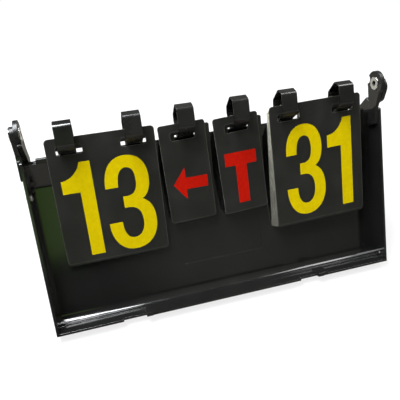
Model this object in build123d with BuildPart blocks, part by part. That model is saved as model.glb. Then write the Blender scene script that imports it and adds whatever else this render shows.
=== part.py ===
from build123d import *
import os
from math import acos, cos, degrees, radians, sin, tan

os.makedirs("parts", exist_ok=True)

# ---------------------------------------------------------------- sizes, mm
# Case. Each shell is one tray; the two are the same moulding, turned half a turn about the vertical.
shell_width = 385.0        # outside, left to right
leg_length = 208.8         # hinge axis to the bottom rim edge, along the board
tray_depth = 27.1          # tray floor to the rim plane, which also holds the hinge axis
wall = 2.8                 # side walls
floor_thick = 2.5          # floor, bottom wall and top band
stand_angle = 28.5         # tilt of each board from the vertical when the case stands open
back_corner = 10.0         # outside radius of the bottom back corner
cove = 9.0                 # inside radius between the floor and the bottom wall
bend = 13.0                # inside radius where the floor turns up into the top band
band_top_drop = 34.0       # hinge axis down to the top edge of the band
side_top = 27.0            # hinge axis to the top of the side walls, along the board
meet_gap = 0.15            # each shell stays this far from the plane where the two meet
stand_flat = 0.25          # depth of the flat on which the rounded corner stands

# Hinge ears: the plate outside the case at one side, the disc plate inside at the other.
ear_proud = 2.0            # pad outside the side wall
ear_gap = 0.3              # between the lapped plates
inner_ear_thick = 4.2
inner_ear_radius = 13.0
outer_ear_radius = 8.0
pad_foot = 45.0            # hinge axis to the foot of the ear pads, along the board
eyelet_bore = 2.5          # radius of the hole through the eyelet
eyelet_barrel = 4.0        # radius
eyelet_fit = 0.05          # radial running clearance of the barrel in the ears
eyelet_flange = 7.0        # radius
flange_thick = 0.8

# Latches on the bottom rim: a notch, and beside it a tongue with a lug that stands out of the rim.
catch_depth = 3.8
catch_height = 1.4
notch_spans = ((-123.0, -98.5), (81.0, 102.5))   # from the middle of the case
lug_width = 7.0
tongue_width = 12.5
tongue_thick = 2.0
tongue_depth = 17.0        # below the rim, into the cove

# Label recess on the tray floor, left bare.
label_shift = 1.0          # from the middle of the case
label_width = 95.0
label_low = 39.0
label_height = 62.0
label_depth = 0.3

# Side rivets.
rivet_drop = 63.8          # below the hinge axis, along the board
rivet_out = 13.0           # above the tray floor
rivet_shank = 1.6          # radius
rivet_head = 3.4           # radius
rivet_head_thick = 2.2
rivet_edge = 1.1           # cut around each head

# Spine on the front band's top edge, which carries the loops.
spine_end = 14.0           # side of the case to the end of the spine
spine_height = 4.8
spine_proud = 0.2          # in front of the band

# Loops, one strap each.
loop_width = 17.3
loop_thick = 1.2
loop_splay = 1.2           # each score card's loops stand this much outside its slots

# Cards.
card_thick = 0.14
score_width = 107.3
score_height = 133.6
score_corner = 4.0
side_card_width = 49.5
side_card_height = 106.0
side_card_corner = 3.0
cut_corner = 1.6           # straight cut at the corners of the cards behind
slot_width = 25.5
slot_height = 9.0
slot_drop = 12.8           # card top edge down to the middle of the slot
slot_corner = 2.5
slot_edge = 22.1           # middle of a score card's slot to the card's side
score_place = 114.65       # middle of the case to the middle of each score card's loops
side_place = 28.9          # middle of the case to each narrow card's loop
spine_rest = 0.35          # hindmost card to the spine
floor_rest = 0.5           # hindmost card to the tray floor
left_stack_drop = 1.6      # cards behind hang this much lower than the one that shows
right_stack_drop = 2.4     # more here, since the front card's raised corner turns past them

# ------------------------------------------------------------ derived sizes
tilt = radians(stand_angle)
half_width = shell_width / 2
inner_half = half_width - wall
outer_depth = tray_depth + floor_thick
axis_height = (
    (leg_length - back_corner) * cos(tilt)
    + (outer_depth - back_corner) * sin(tilt)
    + back_corner
    - stand_flat
)
inner_ear_face = inner_half
outer_ear_inside = inner_half + ear_gap
outer_ear_outside = half_width + ear_proud
spine_top_drop = band_top_drop - spine_height
spine_thick = floor_thick + spine_proud
spine_length = shell_width - 2 * spine_end
spine_front = -meet_gap - spine_thick
slot_offset = score_width / 2 - slot_edge
loop_centres = (
    -score_place - slot_offset - loop_splay,
    -score_place + slot_offset + loop_splay,
    -side_place,
    side_place,
    score_place - slot_offset - loop_splay,
    score_place + slot_offset + loop_splay,
)


def side_plane(x):
    """Plane across the case at x: local x runs up the front board, local y out of it."""
    return Plane(origin=(x, 0, axis_height), x_dir=(0, sin(tilt), cos(tilt)), z_dir=(1, 0, 0))


def upright_plane(x):
    """Plane across the case at x: local x runs back, local y up, from the hinge axis."""
    return Plane(origin=(x, 0, axis_height), x_dir=(0, 1, 0), z_dir=(1, 0, 0))


def floor_plane(up, out=0.0):
    """Plane on the front tray floor; local x runs right, local y up the board."""
    along = up - leg_length
    away = out - tray_depth
    y = along * sin(tilt) - away * cos(tilt)
    z = along * cos(tilt) + away * sin(tilt)
    normal = (0, -cos(tilt), sin(tilt))
    return Plane(origin=(0, y, axis_height + z), x_dir=(1, 0, 0), z_dir=normal)


def rounded_outline(corners):
    """Draw a closed outline through corners given as (x, y, radius)."""
    points = [Vector(x, y) for x, y, radius in corners]
    runs = []
    for index, (x, y, radius) in enumerate(corners):
        corner = points[index]
        to_last = (points[index - 1] - corner).normalized()
        to_next = (points[(index + 1) % len(points)] - corner).normalized()
        half = acos(max(-1.0, min(1.0, to_last.dot(to_next)))) / 2
        reach = radius / tan(half)
        middle = (to_last + to_next).normalized() * (radius / sin(half) - radius)
        runs.append((corner + to_last * reach, corner + middle, corner + to_next * reach))
    for index, (start, middle, end) in enumerate(runs):
        if corners[index][2] > 0:
            ThreePointArc(start, middle, end)
        following = runs[(index + 1) % len(runs)][0]
        if (following - end).length > 1e-5:
            Line(end, following)


def band_face(along, back):
    """Height out of the board of an upright face that lies back mm behind the hinge axis."""
    return along * tan(tilt) - back / cos(tilt)


def upright_to_board(y, z):
    """Turn (back, up) from the hinge axis into (along the board, out of the board)."""
    return (y * sin(tilt) + z * cos(tilt), -y * cos(tilt) + z * sin(tilt))


# ------------------------------------------------------------------- shells
band_outer_turn = (-outer_depth * cos(tilt) - meet_gap) / sin(tilt)
band_inner_turn = (-tray_depth * cos(tilt) - meet_gap - floor_thick) / sin(tilt)

with BuildPart() as front_shell:
    # outside of the tray: side walls and everything between them
    with BuildSketch(side_plane(-half_width)) as side_outline:
        with BuildLine():
            rounded_outline((
                (-leg_length, -meet_gap, 0),
                (-leg_length, -outer_depth, back_corner),
                (band_outer_turn, -outer_depth, bend + floor_thick),
                (-side_top, band_face(-side_top, -meet_gap), 0),
                (-side_top, -meet_gap, 2.0),
            ))
        make_face()
    extrude(amount=shell_width)
    # room inside, open at the rim and over the band
    with BuildSketch(side_plane(-inner_half)) as room_outline:
        with BuildLine():
            rounded_outline((
                (-leg_length + floor_thick, 20, 0),
                (-leg_length + floor_thick, -tray_depth, cove),
                (band_inner_turn, -tray_depth, bend),
                (10, band_face(10, -meet_gap - floor_thick), 0),
                (10, 20, 0),
            ))
        make_face()
    extrude(amount=2 * inner_half, mode=Mode.SUBTRACT)
    # the band stops below the side walls
    with BuildSketch(upright_plane(-inner_half)) as band_cut:
        with Locations((-10, -band_top_drop + 15)):
            Rectangle(40, 30)
    extrude(amount=2 * inner_half, mode=Mode.SUBTRACT)
    # flat on which the corner stands
    with BuildSketch(Plane.XY) as stand_cut:
        Rectangle(shell_width + 20, 2.5 * leg_length)
    extrude(amount=-20, mode=Mode.SUBTRACT)
    # outer ear at the left, with its pad down the outside of the wall
    with BuildSketch(side_plane(-outer_ear_outside)) as outer_ear:
        with BuildLine():
            rounded_outline((
                (-side_top - 6, -3.0, 0),
                (-side_top + 8, -1.0, 6.0),
                (-6.0, outer_ear_radius - 2.0, 6.0),
                (7.5, outer_ear_radius - 2.0, 7.0),
                (7.5, -10.0, 8.0),
                (-8.0, -18.0, 8.0),
                (-side_top + 1, -13.4, 3.0),
                (-side_top - 6, -13.4, 0),
            ))
        make_face()
    extrude(amount=outer_ear_outside - outer_ear_inside)
    with BuildSketch(side_plane(-outer_ear_outside)) as ear_pad:
        with BuildLine():
            rounded_outline((
                (-pad_foot, -2.0, 3.0),
                (-side_top + 2, -1.5, 0),
                (-side_top + 2, -13.2, 0),
                (-pad_foot, -21.5, 3.0),
            ))
        make_face()
    extrude(amount=ear_proud + wall / 2)
    # inner ear at the right, a disc on an arm that runs down the inside of the wall
    arm_start = inner_ear_face - inner_ear_thick
    with BuildSketch(side_plane(arm_start)) as inner_ear:
        Circle(inner_ear_radius)
        with BuildLine():
            rounded_outline((
                (0, inner_ear_radius - 0.4, 0),
                (-side_top, -meet_gap - 0.6, 4.0),
                (-pad_foot, -meet_gap - 2.5, 3.0),
                (-pad_foot, -19.0, 3.0),
                (-side_top - 4, -14.0, 2.0),
                (-side_top, -13.2, 0),
                (0, -inner_ear_radius + 0.4, 0),
            ))
        make_face()
        with Locations((5.0, -12.6)):
            Circle(4.6, mode=Mode.SUBTRACT)
    extrude(amount=inner_ear_thick)
    # pivot holes
    with BuildSketch(side_plane(-half_width - 10)) as pivot_hole:
        Circle(eyelet_barrel + eyelet_fit)
    extrude(amount=shell_width + 20, mode=Mode.SUBTRACT)
    # latch notches and lugs on the bottom rim
    for notch_start, notch_end in notch_spans:
        with BuildSketch(side_plane(notch_end)) as tongue:
            with BuildLine():
                rounded_outline((
                    (-leg_length + 0.6, -tongue_depth, 0),
                    (-leg_length + 0.6, -meet_gap, 0),
                    (-leg_length + floor_thick + tongue_thick, -meet_gap, 0),
                    (-leg_length + floor_thick + tongue_thick, -tongue_depth, 0),
                ))
            make_face()
        extrude(amount=tongue_width)
        with BuildSketch(side_plane(notch_end)) as lug:
            with BuildLine():
                rounded_outline((
                    (-leg_length + 0.4, -catch_depth, 0),
                    (-leg_length + 0.4, catch_height, 0),
                    (-leg_length + floor_thick + tongue_thick, catch_height, 0),
                    (-leg_length + floor_thick + tongue_thick, -catch_depth, 0),
                ))
            make_face()
        extrude(amount=lug_width)
        with BuildSketch(side_plane(notch_start)) as notch:
            with Locations((-leg_length + 1, -catch_depth / 2)):
                Rectangle(8, catch_depth)
        extrude(amount=notch_end - notch_start, mode=Mode.SUBTRACT)
    # bare label recess
    with BuildSketch(floor_plane(label_low + label_height / 2, -label_depth)) as label:
        with Locations((label_shift, 0)):
            RectangleRounded(label_width, label_height, 2.0)
    extrude(amount=2 * label_depth, mode=Mode.SUBTRACT)
    # rivet hole through the left wall
    with BuildSketch(side_plane(-half_width - 1)) as rivet_hole:
        with Locations((-rivet_drop, rivet_out - tray_depth)):
            Circle(rivet_shank + eyelet_fit)
    extrude(amount=wall + 2, mode=Mode.SUBTRACT)
front_shell.part.label = "front_shell"
export_step(front_shell.part, "parts/front_shell.step")

with BuildPart() as rear_shell:
    add(front_shell.part.rotate(Axis.Z, 180))
rear_shell.part.label = "rear_shell"
export_step(rear_shell.part, "parts/rear_shell.step")


# ------------------------------------------------------------------ eyelets
def flanged_tube(start, end, bore, barrel, flange, thick, shift=(0, 0)):
    """Tube from start to end along x with a flange outside each end."""
    with BuildPart() as tube:
        for face_x, radius, length in (
            (start - thick, flange, thick),
            (start, barrel, end - start),
            (end, flange, thick),
        ):
            with BuildSketch(side_plane(face_x)):
                with Locations(shift):
                    Circle(radius)
                    if bore > 0:
                        Circle(bore, mode=Mode.SUBTRACT)
            extrude(amount=length)
    return tube.part


eyelet_play = 0.05         # along the hinge, at each flange
left_eyelet = flanged_tube(
    -outer_ear_outside - eyelet_play, -inner_ear_face + inner_ear_thick + eyelet_play,
    eyelet_bore, eyelet_barrel, eyelet_flange, flange_thick,
)
with BuildPart() as pivot_eyelets:
    add(left_eyelet)
    add(left_eyelet.rotate(Axis.Z, 180))
pivot_eyelets.part.label = "pivot_eyelets"
export_step(pivot_eyelets.part, "parts/pivot_eyelets.step")

# --------------------------------------------------------------- side rivets
rivet_body = flanged_tube(
    -half_width, -inner_half, 0, rivet_shank, rivet_head, rivet_head_thick,
    (-rivet_drop, rivet_out - tray_depth),
)
with BuildPart() as front_side_rivet:
    add(rivet_body)
    rims = front_side_rivet.edges().filter_by(GeomType.CIRCLE).sort_by(Axis.X)
    chamfer([rims[0], rims[-1]], rivet_edge)
front_side_rivet.part.label = "front_side_rivet"
export_step(front_side_rivet.part, "parts/front_side_rivet.step")

with BuildPart() as rear_side_rivet:
    add(front_side_rivet.part.rotate(Axis.Z, 180))
rear_side_rivet.part.label = "rear_side_rivet"
export_step(rear_side_rivet.part, "parts/rear_side_rivet.step")

# -------------------------------------------------------------------- spine
with BuildPart() as spine_bar:
    with BuildSketch(upright_plane(-spine_length / 2)) as spine_section:
        with BuildLine():
            rounded_outline((
                (spine_front, -band_top_drop, 0.6),
                (-meet_gap, -band_top_drop, 0),
                (-meet_gap, -spine_top_drop, 0.6),
                (spine_front, -spine_top_drop, 0.6),
            ))
        make_face()
    extrude(amount=spine_length)
spine_bar.part.label = "spine_bar"
export_step(spine_bar.part, "parts/spine_bar.step")

# -------------------------------------------------------------------- loops
# Middle line of the strap, (back, up, radius) from the hinge axis; the foot lies on the spine.
foot_drop = spine_top_drop - loop_thick / 2
loop_line = (
    (-4.7, 5.6, 3.2),
    (-13.2, -10.6, 3.4),
    (-11.2, -17.0, 4.0),
    (-5.6, -24.0, 3.0),
    (spine_front - 0.15, -foot_drop, 0.8),
    (-0.9, -foot_drop, 0.8),
    (5.3, -23.4, 3.0),
    (11.2, -16.8, 4.0),
    (13.2, -10.6, 3.4),
    (4.7, 5.6, 3.2),
)


def strap_loop(centre):
    """One closed strap standing on the spine at the given place along the case."""
    with BuildPart() as strap:
        with BuildSketch(upright_plane(centre - loop_width / 2)):
            with BuildLine():
                rounded_outline(loop_line)
            make_face()
            offset(amount=loop_thick / 2)
            offset(amount=-loop_thick, mode=Mode.SUBTRACT)
        extrude(amount=loop_width)
    return strap.part


for number, centre in enumerate(loop_centres, start=1):
    loop_name = f"loop_{number}"
    loop_part = strap_loop(centre)
    loop_part.label = loop_name
    export_step(loop_part, f"parts/{loop_name}.step")


# -------------------------------------------------------------------- cards
def card_plane(centre_x, top_back, top_up, lean, turn):
    """Plane in a card: origin at the middle of its top edge, local y up the card, turned in itself."""
    slope = radians(lean)
    twist = radians(turn)
    return Plane(
        origin=(centre_x, top_back, axis_height + top_up),
        x_dir=(cos(twist), sin(twist) * sin(slope), sin(twist) * cos(slope)),
        z_dir=(0, -cos(slope), sin(slope)),
    )


def card_outline(width, height, corner, slot_centres):
    """A card with its slots, hanging down from the middle of its top edge."""
    with Locations((0, -height / 2)):
        RectangleRounded(width, height, corner)
    for slot_x in slot_centres:
        with Locations((slot_x, -slot_drop)):
            RectangleRounded(slot_width, slot_height, slot_corner, mode=Mode.SUBTRACT)


def tucked_outline(width, height, corner, slot_centres):
    """The outline of a card behind another, with its corners cut straight and its slots square."""
    left, right, foot = -width / 2, width / 2, -height
    Polygon(
        (left + corner, 0), (right - corner, 0), (right, -corner), (right, foot + corner),
        (right - corner, foot), (left + corner, foot), (left, foot + corner), (left, -corner),
        align=None,
    )
    for slot_x in slot_centres:
        with Locations((slot_x, -slot_drop)):
            Rectangle(slot_width, slot_height, mode=Mode.SUBTRACT)


def between(first, last, share):
    """Value a share of the way from first to last."""
    return first + (last - first) * share


# Hindmost card of a stack: it leans on the spine's front edge and its foot lies by the floor.
def hindmost(height, top_up):
    """(back, up, lean) of the top edge of the card that lies deepest in the tray."""
    rest_back = spine_front - spine_rest
    rest_up = -spine_top_drop
    lean = 20.0
    for step in range(40):
        slope = radians(lean)
        reach = height - (top_up - rest_up) / cos(slope)
        foot_back = rest_back - reach * sin(slope)
        foot_up = rest_up - reach * cos(slope)
        along, away = upright_to_board(foot_back, foot_up)
        error = away + tray_depth - floor_rest
        lean += degrees(error / reach) * -1.0
    slope = radians(lean)
    return (rest_back + (top_up - rest_up) * tan(slope), top_up, lean)


score_slots = (-slot_offset, slot_offset)

# centre from the middle of the case, top edge (back, up) from the hinge axis, lean, turn
left_card = (0.65 - score_place, 0.6, -11.2, 21.9, -0.35)
right_card = (0.65 + score_place, -1.2, -8.7, 24.3, 1.3)
arrow_place = (-3.8 - side_place, -0.2, -13.4, 22.3, 1.8)
timeout_place = (-4.15 + side_place, -0.6, -13.4, 22.6, 3.4)
arrow_next = (1.4 - side_place, 0.9, -18.2, 20.5, 0.4)
timeout_next = (1.2 + side_place, 0.7, -18.7, 20.5, 1.0)
stack_last = hindmost(score_height, -16.6)
left_count = 14            # cards 0 to 13
right_count = 32           # cards 0 to 31


def score_card(place):
    """The card that shows at the front of a score stack."""
    with BuildPart() as card:
        centre_x, top_back, top_up, lean, turn = place
        plane = card_plane(centre_x, top_back, top_up, lean, turn)
        with BuildSketch(plane):
            card_outline(score_width, score_height, score_corner, score_slots)
        extrude(amount=card_thick / 2, both=True)
    return card.part


def side_card(place):
    """The card that shows at the front of a narrow stack."""
    with BuildPart() as card:
        centre_x, top_back, top_up, lean, turn = place
        plane = card_plane(centre_x, top_back, top_up, lean, turn)
        with BuildSketch(plane):
            card_outline(side_card_width, side_card_height, side_card_corner, (0,))
        extrude(amount=card_thick / 2, both=True)
    return card.part


def next_side_card(place):
    """The card behind the front card of a narrow stack; it leans on the spine."""
    with BuildPart() as card:
        centre_x, top_back, top_up, lean, turn = place
        plane = card_plane(centre_x, top_back, top_up, lean, turn)
        with BuildSketch(plane):
            tucked_outline(side_card_width, side_card_height, cut_corner, (0,))
        extrude(amount=card_thick / 2, both=True)
    return card.part


def fanned_stack(place, last, count, drop):
    """The cards behind the front card, each a little deeper and steeper than the next."""
    centre_x, top_back, top_up, lean, turn = place
    first_back = top_back - drop * sin(radians(lean))
    first_up = top_up - drop * cos(radians(lean))
    with BuildPart() as stack:
        for number in range(1, count):
            share = number / (count - 1)
            plane = card_plane(
                centre_x,
                between(first_back, last[0], share),
                between(first_up, last[1], share),
                between(lean, last[2], share),
                between(turn, 0.0, share),
            )
            with BuildSketch(plane):
                tucked_outline(score_width, score_height, cut_corner, score_slots)
            extrude(amount=card_thick / 2, both=True)
    return stack.part


card_parts = (
    ("score_card_left", score_card(left_card)),
    ("score_card_right", score_card(right_card)),
    ("arrow_card", side_card(arrow_place)),
    ("timeout_card", side_card(timeout_place)),
    ("arrow_next_card", next_side_card(arrow_next)),
    ("timeout_next_card", next_side_card(timeout_next)),
    ("left_stack_cards", fanned_stack(left_card, stack_last, left_count, left_stack_drop)),
    ("right_stack_cards", fanned_stack(right_card, stack_last, right_count, right_stack_drop)),
)
for card_name, card_part in card_parts:
    card_part.label = card_name
    export_step(card_part, f"parts/{card_name}.step")
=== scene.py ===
"""A tabletop flip scoreboard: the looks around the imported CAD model."""

import logging
import math
from dataclasses import dataclass
from enum import Enum

import bmesh
import bpy
from mathutils import Matrix, Quaternion, Vector


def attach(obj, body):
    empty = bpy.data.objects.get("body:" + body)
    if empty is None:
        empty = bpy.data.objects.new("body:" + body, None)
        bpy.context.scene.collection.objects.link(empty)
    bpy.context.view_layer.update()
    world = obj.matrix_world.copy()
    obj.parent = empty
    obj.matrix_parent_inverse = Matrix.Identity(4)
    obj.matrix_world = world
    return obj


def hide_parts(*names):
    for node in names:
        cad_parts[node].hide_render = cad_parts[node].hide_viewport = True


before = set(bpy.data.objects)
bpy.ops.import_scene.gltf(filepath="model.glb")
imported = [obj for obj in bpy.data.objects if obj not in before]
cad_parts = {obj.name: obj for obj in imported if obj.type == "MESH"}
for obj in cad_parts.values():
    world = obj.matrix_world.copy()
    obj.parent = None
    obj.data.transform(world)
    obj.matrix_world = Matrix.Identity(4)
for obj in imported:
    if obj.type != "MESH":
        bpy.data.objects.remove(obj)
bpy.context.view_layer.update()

log = logging.getLogger("scoreboard")

Socket = bpy.types.NodeSocket
BMesh = bmesh.types.BMesh
Pair = tuple[float, float]
Triple = tuple[float, float, float]
Quad = tuple[float, float, float, float]
Input = Socket | float | Quad

MM = 0.001
AXIS_HEIGHT = 193.81 * MM      # hinge axis above the table
BOARD_TILT = math.radians(28.5)
LEG_LENGTH = 208.8 * MM        # hinge axis to the bottom rim, along the board
TRAY_DEPTH = 27.1 * MM         # floor to the rim plane
INNER_HALF = 189.7 * MM        # middle of the case to the inside of a side wall
OUTER_HALF = 192.5 * MM        # middle of the case to the outside of a side wall
CARD_THICK = 0.14 * MM
CARD_LEAN = math.radians(22.0)
MERGE_GAP = 2e-6               # metres within which loose corners are merged
BEVEL_STEPS = 2
WHITE = (1.0, 1.0, 1.0, 1.0)
DUST_COLOUR = (0.42, 0.41, 0.38, 1.0)
SCRATCHES_ALONG = (9.0, 700.0, 700.0)     # stretch of the noise for scratches along the case
SCRATCHES_ACROSS = (520.0, 14.0, 14.0)
SCRATCH_ROUGHNESS = 0.10       # what a scratch adds to the roughness
METAL_SMUDGE_SCALE = 420.0


# ---- node graphs
class Graph:
    """Adds and links the nodes of one shader tree."""

    def __init__(self, tree: bpy.types.NodeTree) -> None:
        """Take over a tree.

        Args:
            tree: The tree that the nodes go into.
        """
        self.tree = tree

    def node(self, kind: str, **settings: object) -> bpy.types.Node:
        """Add a node and set its properties.

        Args:
            kind: The node's Blender type name, without the ShaderNode start.
            **settings: Property names and values.

        Returns:
            The new node.
        """
        made = self.tree.nodes.new("ShaderNode" + kind)
        for name, value in settings.items():
            setattr(made, name, value)
        return made

    def link(self, source: Socket, target: Socket) -> None:
        """Join an output to an input.

        Args:
            source: The output.
            target: The input.
        """
        self.tree.links.new(source, target)

    def feed(self, target: Socket, value: Input) -> None:
        """Give an input a link or a plain value.

        Args:
            target: The input.
            value: An output socket to link, or the value to set.
        """
        if isinstance(value, Socket):
            self.link(value, target)
        else:
            target.default_value = value

    def noise(self, vector: Socket, scale: Input, detail: float = 3.0, rough: float = 0.55) -> Socket:
        """A noise pattern from 0 to 1.

        Args:
            vector: The coordinates.
            scale: Features per metre.
            detail: Octaves.
            rough: How much the small octaves count.

        Returns:
            The Factor output.
        """
        made = self.node("TexNoise")
        self.feed(made.inputs["Vector"], vector)
        self.feed(made.inputs["Scale"], scale)
        made.inputs["Detail"].default_value = detail
        made.inputs["Roughness"].default_value = rough
        return made.outputs["Fac"]

    def ramp(self, value: Input, low: Input, high: Input, to_low: Input = 0.0,
             to_high: Input = 1.0) -> Socket:
        """Map a value from one span to another, held at the ends.

        Args:
            value: The value.
            low: Start of the span.
            high: End of the span.
            to_low: Result at the start.
            to_high: Result at the end.

        Returns:
            The mapped value's output.
        """
        made = self.node("MapRange", clamp=True)
        for name, item in (("Value", value), ("From Min", low), ("From Max", high),
                           ("To Min", to_low), ("To Max", to_high)):
            self.feed(made.inputs[name], item)
        return made.outputs["Result"]

    def sums(self, operation: str, first: Input, second: Input) -> Socket:
        """One Math node.

        Args:
            operation: ADD, MULTIPLY and so on.
            first: First value.
            second: Second value.

        Returns:
            The result's output.
        """
        made = self.node("Math", operation=operation)
        self.feed(made.inputs[0], first)
        self.feed(made.inputs[1], second)
        return made.outputs[0]

    def blend(self, share: Input, first: Input, second: Input) -> Socket:
        """Mix two colours.

        Args:
            share: 0 gives the first colour and 1 the second.
            first: First colour.
            second: Second colour.

        Returns:
            The mixed colour's output.
        """
        made = self.node("Mix", data_type="RGBA")
        self.feed(made.inputs["Factor"], share)
        self.feed(made.inputs["A"], first)
        self.feed(made.inputs["B"], second)
        return made.outputs["Result"]

    def plain(self, kind: str, colour: Input) -> Socket:
        """A shader of one colour.

        Args:
            kind: The shader's type name, as for node.
            colour: Its colour.

        Returns:
            The shader's output.
        """
        made = self.node(kind)
        self.feed(made.inputs["Color"], colour)
        return made.outputs[0]

    def mixed(self, share: Input, first: Socket, second: Socket) -> Socket:
        """Mix two shaders.

        Args:
            share: 0 gives the first shader and 1 the second.
            first: First shader.
            second: Second shader.

        Returns:
            The mixed shader's output.
        """
        made = self.node("MixShader")
        self.feed(made.inputs[0], share)
        self.link(first, made.inputs[1])
        self.link(second, made.inputs[2])
        return made.outputs[0]

    def shown(self) -> Socket:
        """Whether the camera looks at the surface, directly or through glass.

        Returns:
            An output that is 1 for such rays and 0 for the others.
        """
        rays = self.node("LightPath").outputs
        return self.sums("MAXIMUM", rays["Is Camera Ray"], rays["Is Transmission Ray"])


def fresh_graph(owner: bpy.types.Material | bpy.types.World) -> Graph:
    """Empty the node tree of a material or a world.

    Args:
        owner: The material or world.

    Returns:
        The graph of its empty tree.
    """
    owner.use_nodes = True
    owner.node_tree.nodes.clear()
    return Graph(owner.node_tree)


class EffectGroup:
    """A shader node group that puts out masks and heights only."""

    def __init__(self, name: str, inputs: dict[str, float], outputs: tuple[str, ...]) -> None:
        """Make the group and its sockets.

        Args:
            name: The group's name.
            inputs: Names and usual values of the number inputs; a Vector input comes first.
            outputs: Names of the number outputs.
        """
        self.tree = bpy.data.node_groups.new(name, "ShaderNodeTree")
        self.tree.interface.new_socket("Vector", in_out="INPUT", socket_type="NodeSocketVector")
        for label, value in inputs.items():
            socket = self.tree.interface.new_socket(label, in_out="INPUT",
                                                    socket_type="NodeSocketFloat")
            socket.default_value = value
        for label in outputs:
            self.tree.interface.new_socket(label, in_out="OUTPUT", socket_type="NodeSocketFloat")
        self.graph = Graph(self.tree)
        self.entry = self.tree.nodes.new("NodeGroupInput")
        self.exit = self.tree.nodes.new("NodeGroupOutput")

    def given(self, label: str) -> Socket:
        """The socket that brings one input in.

        Args:
            label: The input's name.

        Returns:
            The socket inside the group.
        """
        return self.entry.outputs[label]

    def give(self, label: str, value: Socket) -> None:
        """Send a value out of the group.

        Args:
            label: The output's name.
            value: What goes out.
        """
        self.graph.link(value, self.exit.inputs[label])

    def stretched(self, scale: Triple) -> Socket:
        """The group's coordinates, stretched.

        Args:
            scale: Factor along each axis.

        Returns:
            The stretched coordinates' output.
        """
        made = self.graph.node("Mapping")
        self.graph.link(self.given("Vector"), made.inputs["Vector"])
        made.inputs["Scale"].default_value = scale
        return made.outputs["Vector"]


def moulded_skin() -> bpy.types.NodeTree:
    """Skin of moulded plastic: orange peel, slow waves from shrinkage, smudges and fine scratches.

    Returns:
        The group's tree, with the outputs Smudge, Height and Scratch.
    """
    group = EffectGroup(
        "moulded_skin",
        {"Peel Scale": 620.0, "Wave Scale": 13.0, "Wave Height": 0.5, "Smudge Scale": 26.0},
        ("Smudge", "Height", "Scratch"),
    )
    smudge_span, along_span, across_span = (0.38, 0.66), (0.70, 0.80), (0.73, 0.83)
    peel_height, scratch_depth = 0.03, -0.01
    graph = group.graph
    peel = graph.noise(group.given("Vector"), group.given("Peel Scale"), 2.0)
    wave = graph.noise(group.given("Vector"), group.given("Wave Scale"), 1.0)
    smudge = graph.noise(group.given("Vector"), group.given("Smudge Scale"), 6.0, 0.62)
    along = graph.noise(group.stretched(SCRATCHES_ALONG), 1.0, 2.0, 0.5)
    across = graph.noise(group.stretched(SCRATCHES_ACROSS), 1.0, 2.0, 0.5)
    fine = graph.sums("MAXIMUM", graph.ramp(along, *along_span), graph.ramp(across, *across_span))
    group.give("Scratch", fine)
    group.give("Smudge", graph.ramp(smudge, *smudge_span))
    waves = graph.sums("MULTIPLY", wave, group.given("Wave Height"))
    small = graph.sums("MULTIPLY", peel, peel_height)
    cuts = graph.sums("MULTIPLY", fine, scratch_depth)
    group.give("Height", graph.sums("ADD", graph.sums("ADD", waves, small), cuts))
    return group.tree


def sheet_skin() -> bpy.types.NodeTree:
    """Skin of a thin matt plastic sheet: fine grain, soft rub marks and a slow bow.

    Returns:
        The group's tree, with the outputs Rub and Height.
    """
    group = EffectGroup("sheet_skin", {"Grain Scale": 1400.0, "Rub Scale": 34.0},
                        ("Rub", "Height"))
    rub_span, bow_scale, bow_height, grain_height = (0.42, 0.72), 9.0, 1.2, 0.035
    graph = group.graph
    grain = graph.noise(group.given("Vector"), group.given("Grain Scale"), 2.0, 0.6)
    rub = graph.noise(group.given("Vector"), group.given("Rub Scale"), 5.0, 0.65)
    bow = graph.noise(group.given("Vector"), bow_scale, 1.0)
    group.give("Rub", graph.ramp(rub, *rub_span))
    tall = graph.sums("MULTIPLY", bow, bow_height)
    group.give("Height", graph.sums("ADD", tall, graph.sums("MULTIPLY", grain, grain_height)))
    return group.tree


def print_skin() -> bpy.types.NodeTree:
    """Skin of a screen-printed sign: mottled ink with a fine mesh.

    Returns:
        The group's tree, with the outputs Mottle and Height.
    """
    group = EffectGroup("print_skin", {"Mottle Scale": 240.0}, ("Mottle", "Height"))
    mottle_span, mesh_scale, mottle_height, mesh_height = (0.34, 0.68), 2200.0, 0.04, 0.02
    graph = group.graph
    mottle = graph.noise(group.given("Vector"), group.given("Mottle Scale"), 4.0, 0.7)
    mesh = graph.noise(group.given("Vector"), mesh_scale, 1.0)
    group.give("Mottle", graph.ramp(mottle, *mottle_span))
    group.give("Height", graph.sums("ADD", graph.sums("MULTIPLY", mottle, mottle_height),
                                    graph.sums("MULTIPLY", mesh, mesh_height)))
    return group.tree


def dust() -> bpy.types.NodeTree:
    """Sparse specks of pale dust.

    Returns:
        The group's tree, with the output Speck.
    """
    group = EffectGroup("dust", {"Speck Scale": 210.0, "Speck Size": 0.10}, ("Speck",))
    patch_scale, patch_span = 60.0, (0.60, 0.70)
    graph = group.graph
    cells = graph.node("TexVoronoi", feature="F1")
    graph.link(group.given("Vector"), cells.inputs["Vector"])
    graph.link(group.given("Speck Scale"), cells.inputs["Scale"])
    near = graph.ramp(cells.outputs["Distance"], group.given("Speck Size"), 0.0)
    some = graph.ramp(graph.noise(group.given("Vector"), patch_scale, 2.0), *patch_span)
    group.give("Speck", graph.sums("MULTIPLY", near, some))
    return group.tree


class Skin(Enum):
    """Which effect a finish is built on."""

    MOULDED = "moulded"
    SHEET = "sheet"
    PRINT = "print"
    METAL = "metal"


class Effects:
    """The shared node groups, each made once."""

    def __init__(self) -> None:
        """Make the groups."""
        moulded = moulded_skin()
        self.skins = {Skin.MOULDED: moulded, Skin.METAL: moulded, Skin.SHEET: sheet_skin(),
                      Skin.PRINT: print_skin()}
        self.dust = dust()


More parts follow.
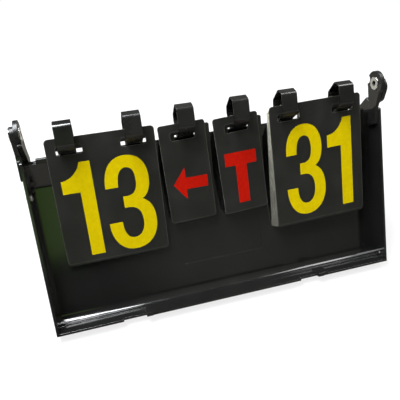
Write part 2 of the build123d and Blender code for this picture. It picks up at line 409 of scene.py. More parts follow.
@dataclass(frozen=True)
class Finish:
    """One finish of the scoreboard, as colours, roughness and relief."""

    name: str
    skin: Skin
    colour: Triple
    worn: Triple                   # colour where it is smudged or rubbed
    rough_low: float
    rough_high: float
    relief: float = 0.2            # strength of the bump
    relief_depth: float = 0.0006   # metres
    wave: float = 0.5
    metallic: float = 0.0
    gloss: float = 0.5             # specular level
    speck: float = 0.0

    def build(self, effects: Effects) -> bpy.types.Material:
        """Make the material.

        Args:
            effects: The shared node groups.

        Returns:
            The material.
        """
        material = bpy.data.materials.new(self.name)
        graph = fresh_graph(material)
        shader = graph.node("BsdfPrincipled")
        output = graph.node("OutputMaterial")
        graph.link(shader.outputs[0], output.inputs["Surface"])
        place = graph.node("TexCoord").outputs["Object"]
        skin = graph.node("Group", node_tree=effects.skins[self.skin])
        graph.link(place, skin.inputs["Vector"])
        if self.skin in (Skin.MOULDED, Skin.METAL):
            skin.inputs["Wave Height"].default_value = self.wave
        if self.skin is Skin.METAL:
            skin.inputs["Smudge Scale"].default_value = METAL_SMUDGE_SCALE
        mark, height, *scratches = skin.outputs
        base = graph.blend(mark, (*self.colour, 1.0), (*self.worn, 1.0))
        if self.speck > 0.0:
            specks = graph.node("Group", node_tree=effects.dust)
            graph.link(place, specks.inputs["Vector"])
            share = graph.sums("MULTIPLY", specks.outputs["Speck"], self.speck)
            base = graph.blend(share, base, DUST_COLOUR)
        graph.link(base, shader.inputs["Base Color"])
        rough = graph.ramp(mark, 0.0, 1.0, self.rough_low, self.rough_high)
        for scratch in scratches:
            rough = graph.sums("ADD", rough, graph.sums("MULTIPLY", scratch, SCRATCH_ROUGHNESS))
        graph.link(rough, shader.inputs["Roughness"])
        shader.inputs["Metallic"].default_value = self.metallic
        shader.inputs["Specular IOR Level"].default_value = self.gloss
        bump = graph.node("Bump")
        bump.inputs["Strength"].default_value = self.relief
        bump.inputs["Distance"].default_value = self.relief_depth
        graph.link(height, bump.inputs["Height"])
        graph.link(bump.outputs["Normal"], shader.inputs["Normal"])
        return material


FINISHES = (
    Finish("shell_gloss", Skin.MOULDED, (0.0058, 0.0058, 0.0056), (0.0076, 0.0076, 0.0072),
           0.08, 0.15, relief=0.30, relief_depth=0.0010, wave=0.9, speck=0.30),
    Finish("ear_satin", Skin.MOULDED, (0.0062, 0.0062, 0.0060), (0.0090, 0.0090, 0.0086),
           0.32, 0.44, relief=0.30, relief_depth=0.0006, wave=0.5, gloss=0.28, speck=0.20),
    # The pips are a paler grey than the wall around them.
    Finish("pip_pale_grey", Skin.MOULDED, (0.060, 0.060, 0.056), (0.16, 0.16, 0.15),
           0.30, 0.45, relief=0.25, wave=0.2),
    Finish("spine_gloss", Skin.MOULDED, (0.0026, 0.0026, 0.0025), (0.0045, 0.0045, 0.0042),
           0.18, 0.28, relief=0.25, wave=0.4, gloss=0.4),
    Finish("strap_satin", Skin.MOULDED, (0.0040, 0.0040, 0.0038), (0.0070, 0.0070, 0.0066),
           0.20, 0.30, relief=0.30, relief_depth=0.0004, wave=0.3),
    Finish("card_charcoal", Skin.SHEET, (0.0066, 0.0064, 0.0054), (0.0104, 0.0101, 0.0086),
           0.46, 0.60, relief=0.30, relief_depth=0.0007, gloss=0.34),
    # Cut edges: their own pale tone, brightened further as a painted highlight for the light on the
    # packs' sides.
    Finish("card_pale_edge_and_highlight", Skin.SHEET, (0.66, 0.64, 0.53), (0.30, 0.285, 0.235),
           0.55, 0.65, relief=0.15),
    # A painted highlight line along the front cards' outlines, paler than their charcoal face.
    Finish("card_rim_highlight", Skin.SHEET, (0.034, 0.033, 0.028), (0.060, 0.058, 0.050),
           0.45, 0.55, relief=0.15),
    Finish("label_border", Skin.MOULDED, (0.020, 0.020, 0.018), (0.034, 0.034, 0.030),
           0.30, 0.40, relief=0.15, wave=0.2),
    Finish("eyelet_bore", Skin.METAL, (0.045, 0.045, 0.043), (0.030, 0.030, 0.028),
           0.40, 0.55, relief=0.15, relief_depth=0.0002, wave=0.1, metallic=0.6),
    Finish("ink_yellow", Skin.PRINT, (0.425, 0.328, 0.0004), (0.376, 0.283, 0.0004),
           0.62, 0.72, relief=0.2, relief_depth=0.0002, gloss=0.02),
    Finish("ink_red", Skin.PRINT, (0.305, 0.005, 0.001), (0.262, 0.004, 0.001),
           0.62, 0.72, relief=0.2, relief_depth=0.0002, gloss=0.03),
    Finish("eyelet_chrome", Skin.METAL, (0.86, 0.86, 0.85), (0.72, 0.72, 0.70),
           0.16, 0.32, relief=0.15, relief_depth=0.0002, wave=0.1, metallic=1.0),
    Finish("rivet_chrome", Skin.METAL, (0.72, 0.72, 0.70), (0.50, 0.49, 0.46),
           0.20, 0.38, relief=0.15, relief_depth=0.0002, wave=0.1, metallic=1.0),
)


class Palette:
    """Every finish as a material."""

    def __init__(self) -> None:
        """Build the materials."""
        effects = Effects()
        self.materials = {finish.name: finish.build(effects) for finish in FINISHES}

    def get(self, *names: str) -> list[bpy.types.Material]:
        """The materials of some finishes.

        Args:
            *names: The finishes' names.

        Returns:
            The materials.
        """
        return [self.materials[name] for name in names]


# ---- mesh helpers
def board_point(along: float, out: float, x: float) -> Vector:
    """A point on the front board.

    Args:
        along: Millimetres up the board from the bottom rim.
        out: Millimetres out of the tray floor.
        x: Metres from the middle of the case.

    Returns:
        The point, in metres.
    """
    up = along * MM - LEG_LENGTH
    away = out * MM - TRAY_DEPTH
    back = up * math.sin(BOARD_TILT) - away * math.cos(BOARD_TILT)
    height = up * math.cos(BOARD_TILT) + away * math.sin(BOARD_TILT)
    return Vector((x, back, AXIS_HEIGHT + height))


def side(body: str) -> float:
    """Which way a tray looks.

    Args:
        body: The tray's body.

    Returns:
        1 for the front tray and -1 for the rear one.
    """
    return 1.0 if body == "case_front" else -1.0


def merged_copy(node: str, flat: float = 0.4) -> BMesh:
    """Copy a CAD node's mesh, merge its loose triangles and join those that lie in one plane.

    Args:
        node: The CAD node.
        flat: Largest angle, in degrees, that still counts as one plane.

    Returns:
        The copy as a bmesh.
    """
    bm = bmesh.new()
    bm.from_mesh(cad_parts[node].data)
    bmesh.ops.remove_doubles(bm, verts=bm.verts, dist=MERGE_GAP)
    bmesh.ops.dissolve_limit(bm, angle_limit=math.radians(flat), verts=bm.verts, edges=bm.edges,
                             use_dissolve_boundaries=False)
    return bm


def round_edges(bm: BMesh, edges: list[bmesh.types.BMEdge], width: float) -> None:
    """Bevel edges with a round profile.

    Args:
        bm: The mesh.
        edges: The edges.
        width: Width of the bevel in metres.
    """
    bmesh.ops.bevel(bm, geom=edges, offset=width, offset_type="OFFSET", segments=BEVEL_STEPS,
                    profile=0.5, affect="EDGES", clamp_overlap=False, material=-1,
                    miter_outer="SHARP", miter_inner="SHARP", loop_slide=True)


def sharp_edges(bm: BMesh, angle: float) -> list[bmesh.types.BMEdge]:
    """Find the edges whose two faces meet at more than an angle.

    Args:
        bm: The mesh.
        angle: The angle in degrees.

    Returns:
        The edges.
    """
    limit = math.radians(angle)
    return [e for e in bm.edges if len(e.link_faces) == 2 and e.calc_face_angle(0.0) > limit]


def placed(name: str, data: bpy.types.ID) -> bpy.types.Object:
    """Put a mesh, curve, light or camera in the scene.

    Args:
        name: The object's name.
        data: What it shows.

    Returns:
        The object.
    """
    made = bpy.data.objects.new(name, data)
    bpy.context.scene.collection.objects.link(made)
    return made


def finished(bm: BMesh, name: str, body: str, nodes: tuple[str, ...],
             materials: list[bpy.types.Material], smooth: float = 38.0) -> bpy.types.Object:
    """Turn a bmesh into a piece of the scoreboard.

    Args:
        bm: The mesh, which is freed.
        name: The piece's name.
        body: The CAD body that it rides on.
        nodes: The CAD nodes that it stands for.
        materials: Its materials.
        smooth: Edges sharper than this many degrees stay sharp.

    Returns:
        The piece.
    """
    mesh = bpy.data.meshes.new(name)
    bm.to_mesh(mesh)
    bm.free()
    for material in materials:
        mesh.materials.append(material)
    mesh.shade_smooth()
    mesh.set_sharp_from_angle(angle=math.radians(smooth))
    piece = placed(name, mesh)
    weighted = piece.modifiers.new("weighted_normals", "WEIGHTED_NORMAL")
    weighted.keep_sharp = True
    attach(piece, body)
    if nodes:
        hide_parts(*nodes)
    log.info("%s: %d faces, rides on %s", name, len(mesh.polygons), body)
    return piece


# ---- the case
@dataclass
class TrayShell:
    """One moulded tray of the case, with rounded edges."""

    node: str
    body: str
    edge_round: float = 0.32 * MM
    sharp: float = 28.0            # degrees above which an edge is rounded
    smooth: float = 34.0
    steep: float = 0.5             # cosine to the floor's normal below which a face is upright
    ear_drop: float = 21.0 * MM    # hinge axis to the foot of the satin ears
    label_low: float = 37.0 * MM
    label_high: float = 103.0 * MM
    label_half: float = 51.0 * MM
    label_depth: float = 0.6 * MM  # more than the recess is deep

    def on_label(self, edge: bmesh.types.BMEdge) -> bool:
        """Whether an edge belongs to the shallow label recess.

        Args:
            edge: The edge.

        Returns:
            True where both ends lie in the recess.
        """
        turn = side(self.body)
        for vert in edge.verts:
            back, height = vert.co.y * turn, vert.co.z - AXIS_HEIGHT
            up = back * math.sin(BOARD_TILT) + height * math.cos(BOARD_TILT) + LEG_LENGTH
            out = -back * math.cos(BOARD_TILT) + height * math.sin(BOARD_TILT) + TRAY_DEPTH
            inside = self.label_low < up < self.label_high and abs(vert.co.x) < self.label_half
            if not inside or abs(out) > self.label_depth:
                return False
        return True

    def build(self, palette: Palette) -> bpy.types.Object:
        """Build the tray.

        Args:
            palette: The finishes.

        Returns:
            The tray.
        """
        bm = merged_copy(self.node)
        edges = [e for e in sharp_edges(bm, self.sharp) if not self.on_label(e)]
        round_edges(bm, edges, self.edge_round)
        turn = side(self.body)
        out = Vector((0.0, -turn * math.cos(BOARD_TILT), math.sin(BOARD_TILT)))
        for face in bm.faces:
            upright = abs(face.normal.dot(out)) < self.steep
            border = upright and all(self.on_label(edge) for edge in face.edges)
            if border:
                face.material_index = 1
            elif face.calc_center_median().z > AXIS_HEIGHT - self.ear_drop:
                face.material_index = 2
            else:
                face.material_index = 0
        return finished(bm, self.node + "_moulding", self.body, (self.node,),
                        palette.get("shell_gloss", "label_border", "ear_satin"), self.smooth)


@dataclass
class SpineBar:
    """The bar on the front band's top edge that carries the loops."""

    node: str = "spine_bar"
    edge_round: float = 0.3 * MM
    sharp: float = 40.0

    def build(self, palette: Palette) -> bpy.types.Object:
        """Build the bar.

        Args:
            palette: The finishes.

        Returns:
            The bar.
        """
        bm = merged_copy(self.node)
        round_edges(bm, sharp_edges(bm, self.sharp), self.edge_round)
        return finished(bm, "spine_bar_moulding", "case_front", (self.node,),
                        palette.get("spine_gloss"))


@dataclass
class StrapLoops:
    """The six strap loops that carry the cards."""

    count: int = 6
    edge_round: float = 0.28 * MM
    sharp: float = 50.0
    smooth: float = 45.0

    def build(self, palette: Palette) -> list[bpy.types.Object]:
        """Build the loops.

        Args:
            palette: The finishes.

        Returns:
            The loops.
        """
        made = []
        for number in range(1, self.count + 1):
            node = f"loop_{number}"
            bm = merged_copy(node)
            round_edges(bm, sharp_edges(bm, self.sharp), self.edge_round)
            made.append(finished(bm, f"strap_{number}", "case_front", (node,),
                                 palette.get("strap_satin"), self.smooth))
        return made


@dataclass
class TurnedMetal:
    """Turned parts whose axis runs along the case: eyelets and rivets."""

    steps: int = 48
    smooth: float = 50.0

    def spin(self, profile: tuple[Pair, ...], centre: Vector, facing: float) -> BMesh:
        """Spin a closed outline about a line along the case.

        Args:
            profile: Points as (distance from the middle of the case, radius), in millimetres.
            centre: A point on the line.
            facing: 1 for the right side of the case and -1 for the left.

        Returns:
            The spun mesh.
        """
        bm = bmesh.new()
        verts = [bm.verts.new((facing * x * MM, centre.y, centre.z + radius * MM))
                 for x, radius in profile]
        edges = [bm.edges.new((verts[i - 1], verts[i])) for i in range(len(verts))]
        bmesh.ops.spin(bm, geom=verts + edges, cent=(0.0, centre.y, centre.z), axis=(1.0, 0.0, 0.0),
                       dvec=(0.0, 0.0, 0.0), angle=math.tau, steps=self.steps, use_merge=True,
                       use_duplicate=False)
        bmesh.ops.remove_doubles(bm, verts=bm.verts, dist=MERGE_GAP)
        bmesh.ops.recalc_face_normals(bm, faces=bm.faces)
        return bm

    def joined(self, parts: list[BMesh]) -> BMesh:
        """Put several meshes in one.

        Args:
            parts: The meshes, which are freed.

        Returns:
            One mesh with all of them.
        """
        whole = bmesh.new()
        for part in parts:
            keep = bpy.data.meshes.new("part")
            part.to_mesh(keep)
            part.free()
            whole.from_mesh(keep)
            bpy.data.meshes.remove(keep)
        return whole


@dataclass
class PivotEyelets(TurnedMetal):
    """The two hollow eyelets through the lapped ears, with rolled rims."""

    outside: float = 195.35
    inside: float = 184.65
    flange: float = 7.0
    barrel: float = 4.0
    bore: float = 2.5
    thick: float = 0.8
    rim_roll: float = 1.2      # how far the flange's rim rolls in
    roll_share: float = 0.45   # and how deep, as a share of its thickness
    bore_roll: float = 0.5     # rounding of the bore's mouth
    edge_round: float = 0.15 * MM
    sharp: float = 30.0
    bore_reach: float = 0.4    # faces this far outside the bore still belong to it

    def build(self, palette: Palette) -> bpy.types.Object:
        """Build both eyelets.

        Args:
            palette: The finishes.

        Returns:
            The eyelets as one piece.
        """
        centre = Vector((0.0, 0.0, AXIS_HEIGHT))
        roll = self.thick * self.roll_share
        profile = (
            (self.inside, self.bore + self.bore_roll), (self.inside, self.flange - self.rim_roll),
            (self.inside + roll, self.flange), (self.inside + self.thick, self.flange),
            (self.inside + self.thick, self.barrel), (self.outside - self.thick, self.barrel),
            (self.outside - self.thick, self.flange), (self.outside - roll, self.flange),
            (self.outside, self.flange - self.rim_roll), (self.outside, self.bore + self.bore_roll),
            (self.outside - self.bore_roll, self.bore), (self.inside + self.bore_roll, self.bore),
        )
        sides = []
        for facing in (-1.0, 1.0):
            bm = self.spin(profile, centre, facing)
            round_edges(bm, sharp_edges(bm, self.sharp), self.edge_round)
            for face in bm.faces:
                middle = face.calc_center_median()
                radius = math.hypot(middle.y - centre.y, middle.z - centre.z)
                face.material_index = 1 if radius < (self.bore + self.bore_reach) * MM else 0
            sides.append(bm)
        return finished(self.joined(sides), "pivot_eyelet_pair", "case_front",
                        ("pivot_eyelets",), palette.get("eyelet_chrome", "eyelet_bore"), self.smooth)


# Half outlines as shares of (rise above the wall, radius): a rivet's head and a mould pip.
DOME = ((1.0, 0.0), (0.86, 0.5), (0.5, 0.86), (0.2, 1.0), (0.0, 1.0))
PIP = ((-0.6, 0.0), (-0.6, 1.0), (0.5, 1.0), (1.0, 0.8), (1.0, 0.5), (0.4, 0.35), (0.4, 0.0))


@dataclass
class SideRivet(TurnedMetal):
    """The rivet through one wall of a tray, with a domed head at each side."""

    node: str = "front_side_rivet"
    body: str = "case_front"
    drop: float = 63.8
    out: float = 13.0
    head: float = 3.4
    head_thick: float = 2.2
    shank: float = 1.6

    def build(self, palette: Palette) -> bpy.types.Object:
        """Build the rivet.

        Args:
            palette: The finishes.

        Returns:
            The rivet.
        """
        centre = board_point(LEG_LENGTH / MM - self.drop, self.out, 0.0)
        centre.y *= side(self.body)
        outer, inner = OUTER_HALF / MM, INNER_HALF / MM
        profile = (
            *((inner - self.head_thick * rise, self.head * radius) for rise, radius in DOME),
            (inner, self.shank), (outer, self.shank),
            *((outer + self.head_thick * rise, self.head * radius) for rise, radius in reversed(DOME)),
        )
        bm = self.spin(profile, centre, -side(self.body))
        return finished(bm, self.node + "_turned", self.body, (self.node,),
                        palette.get("rivet_chrome"), self.smooth)


@dataclass
class WallPips(TurnedMetal):
    """The small round pips that the mould leaves inside the right wall."""

    spots: tuple[Pair, ...] = ((163.7, 13.0), (8.2, 16.8))    # up the board, out of its floor
    radius: float = 1.5
    proud: float = 0.5
    smooth: float = 40.0

    def build(self, palette: Palette) -> bpy.types.Object:
        """Build the pips.

        Args:
            palette: The finishes.

        Returns:
            The pips as one piece.
        """
        wall = INNER_HALF / MM
        profile = tuple((wall - self.proud * rise, self.radius * radius) for rise, radius in PIP)
        pips = [self.spin(profile, board_point(up, out, 0.0), 1.0) for up, out in self.spots]
        return finished(self.joined(pips), "wall_pips", "case_front", (),
                        palette.get("pip_pale_grey"), self.smooth)


# ---- the cards
@dataclass(frozen=True)
class CardPlace:
    """Where a card hangs: the same values as the CAD model's."""

    centre: float      # from the middle of the case, mm
    top_back: float    # top edge behind the hinge axis, mm
    top_up: float      # top edge above the hinge axis, mm
    lean: float        # degrees
    turn: float        # degrees

    def matrix(self, out: float, mirrored: bool = False) -> Matrix:
        """The frame of the card's front or back face.

        Args:
            out: Metres in front of the card's middle plane; behind it for the back face.
            mirrored: True for the back face, which is read from behind.

        Returns:
            A matrix from card coordinates to the scene.
        """
        slope = math.radians(self.lean)
        normal = Vector((0.0, -math.cos(slope), math.sin(slope)))
        right = Quaternion(normal, math.radians(self.turn)) @ Vector((1.0, 0.0, 0.0))
        up = normal.cross(right)
        origin = Vector((self.centre * MM, self.top_back * MM, AXIS_HEIGHT + self.top_up * MM))
        if mirrored:
            right, normal = -right, -normal
        origin = origin + normal * out
        return Matrix((
            (right.x, up.x, normal.x, origin.x),
            (right.y, up.y, normal.y, origin.y),
            (right.z, up.z, normal.z, origin.z),
            (0.0, 0.0, 0.0, 1.0),
        ))


LEFT_CARD = CardPlace(-114.0, 0.6, -11.2, 21.9, -0.35)
RIGHT_CARD = CardPlace(115.3, -1.2, -8.7, 24.3, 1.3)
ARROW_CARD = CardPlace(-32.7, -0.2, -13.4, 22.3, 1.8)
TIMEOUT_CARD = CardPlace(24.75, -0.6, -13.4, 22.6, 3.4)
LEFT_NEXT = CardPlace(-114.0, 0.131, -12.986, 21.838, -0.323)
RIGHT_NEXT = CardPlace(115.3, -2.063, -11.072, 24.197, 1.258)


@dataclass
class CardPiece:
    """One card, or one pack of cards, with pale cut edges brightened into a painted highlight, and on
    the front cards a painted highlight line along the outline.
    """

    node: str
    body: str
    rim: float = 0.0           # width of the painted highlight line along the outline
    flat: float = 0.2
    facing: float = 0.7        # cosine that tells the sheets' faces from their cut edges
    smooth: float = 20.0

    def build(self, palette: Palette) -> bpy.types.Object:
        """Build the card or pack.

        Args:
            palette: The finishes.

        Returns:
            The piece.
        """
        bm = merged_copy(self.node, self.flat)
        face_normal = Vector((0.0, -math.cos(CARD_LEAN), math.sin(CARD_LEAN)))
        # Faces that do not face the card's front take the pale edge finish, which carries a painted
        # highlight.
        for face in bm.faces:
            face.material_index = 0 if abs(face.normal.dot(face_normal)) > self.facing else 1
        # The inset strip along the outline is a painted highlight line.
        if self.rim > 0.0:
            sheet = [face for face in bm.faces if face.material_index == 0]
            made = bmesh.ops.inset_region(bm, faces=sheet, thickness=self.rim, use_even_offset=True,
                                          use_boundary=True)
            for face in made["faces"]:
                face.material_index = 2
        return finished(bm, self.node + "_sheet", self.body, (self.node,),
                        palette.get("card_charcoal", "card_pale_edge_and_highlight", "card_rim_highlight"), self.smooth)


@dataclass(frozen=True)
class Knot:
    """A corner or smooth point of an outline, with its handles, in millimetres."""

    x: float
    y: float
    back: Pair | None = None
    ahead: Pair | None = None


class Sign(Enum):
    """The signs that the cards carry."""

    ZERO = "0"
    ONE = "1"
    TWO = "2"
    THREE = "3"
    ARROW = "arrow"
    T = "T"


OUTLINES: dict[Sign, tuple[tuple[Knot, ...], ...]] = {
    Sign.ZERO: (
        (
            Knot(0.0, 50.0, (0.0, 18.0), (0.0, 82.0)), Knot(24.5, 101.5, (7.0, 101.5), (42.0, 101.5)),
            Knot(49.0, 50.0, (49.0, 82.0), (49.0, 18.0)), Knot(24.5, -1.5, (42.0, -1.5), (7.0, -1.5)),
        ),
        (
            Knot(14.0, 50.0, (14.0, 76.0), (14.0, 24.0)), Knot(24.5, 12.0, (17.0, 12.0), (32.0, 12.0)),
            Knot(35.0, 50.0, (35.0, 24.0), (35.0, 76.0)), Knot(24.5, 88.0, (32.0, 88.0), (17.0, 88.0)),
        ),
    ),
    Sign.ONE: (
        (
            Knot(0.0, 70.0), Knot(0.0, 83.4, None, (10.0, 84.2)), Knot(20.2, 101.0, (17.8, 91.5)),
            Knot(30.7, 101.0), Knot(30.9, 0.0), Knot(17.0, 0.0), Knot(17.0, 70.0),
        ),
    ),
    Sign.TWO: (
        (
            Knot(0.0, 0.0), Knot(48.0, 0.0), Knot(48.0, 13.5), Knot(18.5, 13.5, None, (20.5, 20.0)),
            Knot(33.0, 32.5, (26.0, 26.5), (41.0, 39.5)), Knot(47.5, 70.0, (47.5, 52.0), (47.5, 89.0)),
            Knot(24.5, 101.5, (38.0, 101.5), (10.0, 101.5)), Knot(1.5, 69.0, (1.5, 90.0)),
            Knot(14.8, 69.0, None, (14.8, 81.0)), Knot(24.5, 88.5, (18.0, 88.5), (31.0, 88.5)),
            Knot(33.8, 71.0, (33.8, 81.0), (33.8, 59.0)), Knot(21.0, 41.5, (29.0, 50.0), (8.0, 29.0)),
        ),
    ),
    Sign.THREE: (
        (
            Knot(1.5, 69.0, None, (1.5, 89.5)), Knot(24.8, 101.5, (9.8, 101.5), (38.8, 101.5)),
            Knot(46.8, 75.0, (46.8, 91.0), (46.8, 63.8)), Knot(37.4, 53.2, (43.6, 56.2), (45.0, 49.6)),
            Knot(49.6, 28.0, (49.6, 41.6), (49.6, 10.0)), Knot(24.2, -1.5, (39.2, -1.5), (8.4, -1.5)),
            Knot(0.0, 31.0, (0.0, 12.4)), Knot(13.6, 31.0, None, (13.6, 18.8)),
            Knot(24.4, 11.6, (16.8, 11.6), (31.6, 11.6)), Knot(35.8, 28.6, (35.8, 18.8), (35.8, 39.8)),
            Knot(22.5, 45.8, (31.6, 45.8)), Knot(18.0, 45.8), Knot(18.0, 58.4),
            Knot(22.5, 58.4, None, (29.6, 58.4)), Knot(33.2, 73.4, (33.2, 63.8), (33.2, 83.4)),
            Knot(24.4, 88.8, (30.6, 88.8), (18.0, 88.8)), Knot(14.6, 69.0, (14.6, 81.8)),
        ),
    ),
    Sign.ARROW: (
        (
            Knot(-18.6, 0.0), Knot(-5.1, 17.6), Knot(-5.1, 6.3), Knot(18.6, 6.3), Knot(18.6, -6.3),
            Knot(-5.1, -6.3), Knot(-5.1, -17.6),
        ),
    ),
    Sign.T: (
        (
            Knot(-17.6, 28.6), Knot(17.6, 28.6), Knot(17.6, 14.4), Knot(6.2, 14.4), Knot(6.2, -28.6),
            Knot(-6.2, -28.6), Knot(-6.2, 14.4), Knot(-17.6, 14.4),
        ),
    ),
}


@dataclass(frozen=True)
class Mark:
    """One sign on a card: what it is, where its origin lies and how far it is turned."""

    sign: Sign
    x: float
    y: float
    turn: float = 0.0
    wide: float = 1.0


@dataclass
class CardPrint:
    """The printed signs on one face of one card."""

    name: str
    body: str
    place: CardPlace
    marks: tuple[Mark, ...]
    ink: str
    behind: bool = False
    half_film: float = 0.012 * MM
    sunk: float = 0.004 * MM       # how far the film lies in the card
    smoothness: int = 14           # steps of each curve
    merge_gap: float = 1e-6        # far less than the film is thick
    smooth: float = 30.0

    def outline(self, mark: Mark) -> bpy.types.Mesh:
        """Cut one sign as a thin solid film.

        Args:
            mark: The sign and its place on the card.

        Returns:
            The film's mesh, in card coordinates.
        """
        curve = bpy.data.curves.new("outline", "CURVE")
        curve.dimensions = "2D"
        curve.fill_mode = "BOTH"
        curve.extrude = self.half_film
        curve.resolution_u = self.smoothness
        for knots in OUTLINES[mark.sign]:
            spline = curve.splines.new("BEZIER")
            spline.bezier_points.add(len(knots) - 1)
            spline.use_cyclic_u = True
            for point, knot in zip(spline.bezier_points, knots):
                point.co = (knot.x * MM, knot.y * MM, 0.0)
                point.handle_left_type = "FREE" if knot.back else "VECTOR"
                point.handle_right_type = "FREE" if knot.ahead else "VECTOR"
                if knot.back:
                    point.handle_left = (knot.back[0] * MM, knot.back[1] * MM, 0.0)
                if knot.ahead:
                    point.handle_right = (knot.ahead[0] * MM, knot.ahead[1] * MM, 0.0)
        holder = placed("outline", curve)
        bpy.context.view_layer.update()
        depsgraph = bpy.context.evaluated_depsgraph_get()
        mesh = bpy.data.meshes.new_from_object(holder.evaluated_get(depsgraph))
        bpy.data.objects.remove(holder)
        bpy.data.curves.remove(curve)
        size = Matrix.Diagonal((mark.wide, 1.0, 1.0, 1.0))
        turn = Matrix.Rotation(math.radians(mark.turn), 4, "Z")
        mesh.transform(Matrix.Translation((mark.x * MM, mark.y * MM, 0.0)) @ turn @ size)
        return mesh

    def build(self, palette: Palette) -> bpy.types.Object:
        """Build the print.

        Args:
            palette: The finishes.

        Returns:
            The print as one piece.
        """
        bm = bmesh.new()
        for mark in self.marks:
            mesh = self.outline(mark)
            bm.from_mesh(mesh)
            bpy.data.meshes.remove(mesh)
        bmesh.ops.remove_doubles(bm, verts=bm.verts, dist=self.merge_gap)
        lift = CARD_THICK / 2 + self.half_film - self.sunk
        bm.transform(self.place.matrix(lift, self.behind))
        bmesh.ops.recalc_face_normals(bm, faces=bm.faces)
        return finished(bm, self.name, self.body, (), palette.get(self.ink), self.smooth)


HIGHLIGHT_RIM = 0.4 * MM                 # width of the painted highlight line along the front cards' outlines
NARROW = 0.935                 # width of the right card's round digits, as a share of the left's
NARROW_ONE = 0.96
THIRTY = (Mark(Sign.THREE, -47.0, -125.0, wide=NARROW), Mark(Sign.ZERO, 3.0, -125.0, wide=NARROW))


class Cards:
    """All cards and their signs."""

    pieces: tuple[CardPiece, ...] = (
        CardPiece("score_card_left", "left_flip", HIGHLIGHT_RIM),
        CardPiece("score_card_right", "right_flip", HIGHLIGHT_RIM),
        CardPiece("arrow_card", "arrow_flip", HIGHLIGHT_RIM),
        CardPiece("timeout_card", "timeout_flip", HIGHLIGHT_RIM),
        CardPiece("left_stack_cards", "case_front"),
        CardPiece("right_stack_cards", "case_front"),
        CardPiece("arrow_next_card", "case_front"),
        CardPiece("timeout_next_card", "case_front"),
    )
    prints: tuple[CardPrint, ...] = (
        CardPrint("left_score_print", "left_flip", LEFT_CARD,
                  (Mark(Sign.ONE, -45.0, -127.0), Mark(Sign.THREE, -5.0, -127.4)), "ink_yellow"),
        CardPrint("right_score_print", "right_flip", RIGHT_CARD,
                  (Mark(Sign.THREE, -39.2, -125.0, wide=NARROW),
                   Mark(Sign.ONE, 11.8, -124.8, wide=NARROW_ONE)), "ink_yellow"),
        CardPrint("left_next_print", "case_front", LEFT_NEXT,
                  (Mark(Sign.ONE, -45.0, -127.0), Mark(Sign.TWO, -5.0, -126.0)), "ink_yellow"),
        CardPrint("right_next_print", "case_front", RIGHT_NEXT, THIRTY, "ink_yellow"),
        CardPrint("left_back_print", "left_flip", LEFT_CARD,
                  (Mark(Sign.ONE, -41.0, -127.0), Mark(Sign.TWO, -1.0, -126.0)), "ink_yellow",
                  behind=True),
        CardPrint("right_back_print", "right_flip", RIGHT_CARD, THIRTY, "ink_yellow", behind=True),
        CardPrint("arrow_print", "arrow_flip", ARROW_CARD,
                  (Mark(Sign.ARROW, 1.7, -64.6, -1.6),), "ink_red"),
        CardPrint("timeout_print", "timeout_flip", TIMEOUT_CARD,
                  (Mark(Sign.T, -0.35, -68.0, -1.6),), "ink_red"),
    )

    def build(self, palette: Palette) -> None:
        """Build every card and print.

        Args:
            palette: The finishes.
        """
        for part in (*self.pieces, *self.prints):
            part.build(palette)


# ---- the studio
@dataclass(frozen=True)
class SoftLight:
    """One rectangular studio light, aimed at a point."""

    name: str
    place: Triple
    aim: Triple
    size: Pair
    power: float
    colour: Triple = (1.0, 1.0, 1.0)
    mirrored: bool = True      # whether shiny parts show it

    def build(self) -> bpy.types.Object:
        """Make the light.

        Returns:
            The light.
        """
        data = bpy.data.lights.new(self.name, "AREA")
        data.shape = "RECTANGLE"
        data.size, data.size_y = self.size
        data.energy = self.power
        data.color = self.colour
        light = placed(self.name, data)
        light.location = self.place
        light.visible_glossy = self.mirrored
        direction = Vector(self.aim) - Vector(self.place)
        light.rotation_euler = direction.to_track_quat("-Z", "Y").to_euler()
        return light


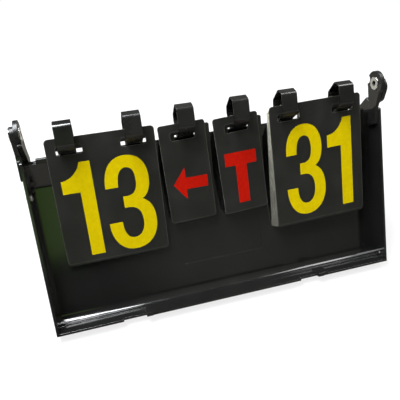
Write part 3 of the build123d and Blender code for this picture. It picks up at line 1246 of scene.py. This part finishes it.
class Studio:
    """Camera, lights, pale floor and pale surround."""

    camera_place: Triple = (-0.12701, -0.40184, 0.43608)
    camera_turn: Quad = (0.901636, 0.409854, -0.058268, -0.125208)
    lens: float = 42.54
    sensor: float = 36.0
    near_clip: float = 0.01
    floor_half: float = 4.0
    floor_drop: float = 0.0005   # floor below the case's foot
    paper_low: Quad = (0.70, 0.70, 0.70, 1.0)
    paper_high: Quad = (0.74, 0.74, 0.74, 1.0)
    paper_grain: float = 90.0
    floor_fade: Pair = (0.45, 1.10)   # metres over which the floor turns white
    floor_white: Pair = (0.80, 1.0)   # share of plain white near and far
    table_dark: Quad = (0.17, 0.16, 0.14, 1.0)   # what shiny parts see of the table
    room_colour: Quad = (1.0, 0.985, 0.88, 1.0)
    room_left: Quad = (-0.03, 0.18, 0.01, 0.30)   # span of sideways directions, then its light
    room_right: Quad = (0.26, 0.44, 1.0, 0.72)
    room_shapes: Quad = (0.36, 0.64, 0.80, 1.16)   # span of noise, then its light
    room_scale: float = 5.0
    lights: tuple[SoftLight, ...] = (
        SoftLight("overhead_left", (-0.37, 0.10, 1.30), (-0.10, -0.02, 0.08), (1.04, 0.40), 58.0,
                  (0.95, 0.98, 1.0)),
        SoftLight("overhead_right", (0.75, 0.15, 1.25), (0.10, -0.02, 0.10), (0.60, 0.40), 9.0),
        SoftLight("front_fill", (0.10, -0.95, 1.75), (0.0, 0.0, 0.10), (1.20, 0.50), 5.5,
                  mirrored=False),
        SoftLight("green_wall", (-0.42, -1.90, 0.66), (-0.10, 0.0, 0.10), (0.36, 0.46), 0.42,
                  (0.55, 1.0, 0.22)),
    )

    def camera(self) -> None:
        """Place the camera where the photograph was taken."""
        data = bpy.data.cameras.new("photo_camera")
        data.lens = self.lens
        data.sensor_width = self.sensor
        data.clip_start = self.near_clip
        camera = placed("photo_camera", data)
        camera.location = self.camera_place
        camera.rotation_mode = "QUATERNION"
        camera.rotation_quaternion = Quaternion(self.camera_turn)
        bpy.context.scene.camera = camera

    def floor(self) -> None:
        """Lay the pale floor, which keeps the object's shadow."""
        bm = bmesh.new()
        bmesh.ops.create_grid(bm, x_segments=8, y_segments=8, size=self.floor_half)
        bmesh.ops.translate(bm, verts=bm.verts, vec=(0.0, 0.0, -self.floor_drop))
        mesh = bpy.data.meshes.new("studio_floor")
        bm.to_mesh(mesh)
        bm.free()
        floor = placed("studio_floor", mesh)
        material = bpy.data.materials.new("studio_floor")
        graph = fresh_graph(material)
        place = graph.node("TexCoord").outputs["Object"]
        grain = graph.noise(place, self.paper_grain, 4.0)
        paper = graph.plain("BsdfDiffuse", graph.blend(grain, self.paper_low, self.paper_high))
        reach = graph.node("VectorMath", operation="LENGTH")
        graph.link(place, reach.inputs[0])
        fade = graph.ramp(reach.outputs["Value"], *self.floor_fade, *self.floor_white)
        share = graph.sums("MULTIPLY", graph.shown(), fade)
        seen = graph.mixed(share, paper, graph.plain("Emission", WHITE))
        mirrored = graph.node("LightPath").outputs["Is Glossy Ray"]
        surface = graph.mixed(mirrored, seen, graph.plain("BsdfDiffuse", self.table_dark))
        graph.link(surface, graph.node("OutputMaterial").inputs["Surface"])
        mesh.materials.append(material)

    def surround(self) -> None:
        """Give the world a white backdrop and a soft pale light."""
        world = bpy.data.worlds.new("studio_world")
        bpy.context.scene.world = world
        graph = fresh_graph(world)
        direction = graph.node("TexCoord").outputs["Generated"]
        way = graph.node("SeparateXYZ")
        graph.link(direction, way.inputs[0])
        left = graph.ramp(way.outputs["X"], *self.room_left)
        right = graph.ramp(way.outputs["X"], *self.room_right)
        shapes = graph.ramp(graph.noise(direction, self.room_scale), *self.room_shapes)
        strength = graph.sums("MULTIPLY", graph.sums("MULTIPLY", left, shapes), right)
        room = graph.node("Background")
        graph.feed(room.inputs["Color"], self.room_colour)
        graph.link(strength, room.inputs["Strength"])
        surface = graph.mixed(graph.shown(), room.outputs[0], graph.plain("Background", WHITE))
        graph.link(surface, graph.node("OutputWorld").inputs["Surface"])

    def build(self) -> None:
        """Set up the whole studio."""
        self.camera()
        self.floor()
        self.surround()
        for light in self.lights:
            light.build()
        bpy.context.scene.view_settings.view_transform = "Standard"


def main() -> None:
    """Build the scoreboard's looks and the studio around it."""
    logging.basicConfig(level=logging.INFO, format="%(name)s: %(message)s")
    palette = Palette()
    Studio().build()
    TrayShell("front_shell", "case_front").build(palette)
    TrayShell("rear_shell", "case_rear").build(palette)
    SpineBar().build(palette)
    StrapLoops().build(palette)
    PivotEyelets().build(palette)
    SideRivet().build(palette)
    SideRivet(node="rear_side_rivet", body="case_rear").build(palette)
    WallPips().build(palette)
    Cards().build(palette)


if __name__ == "__main__":
    main()
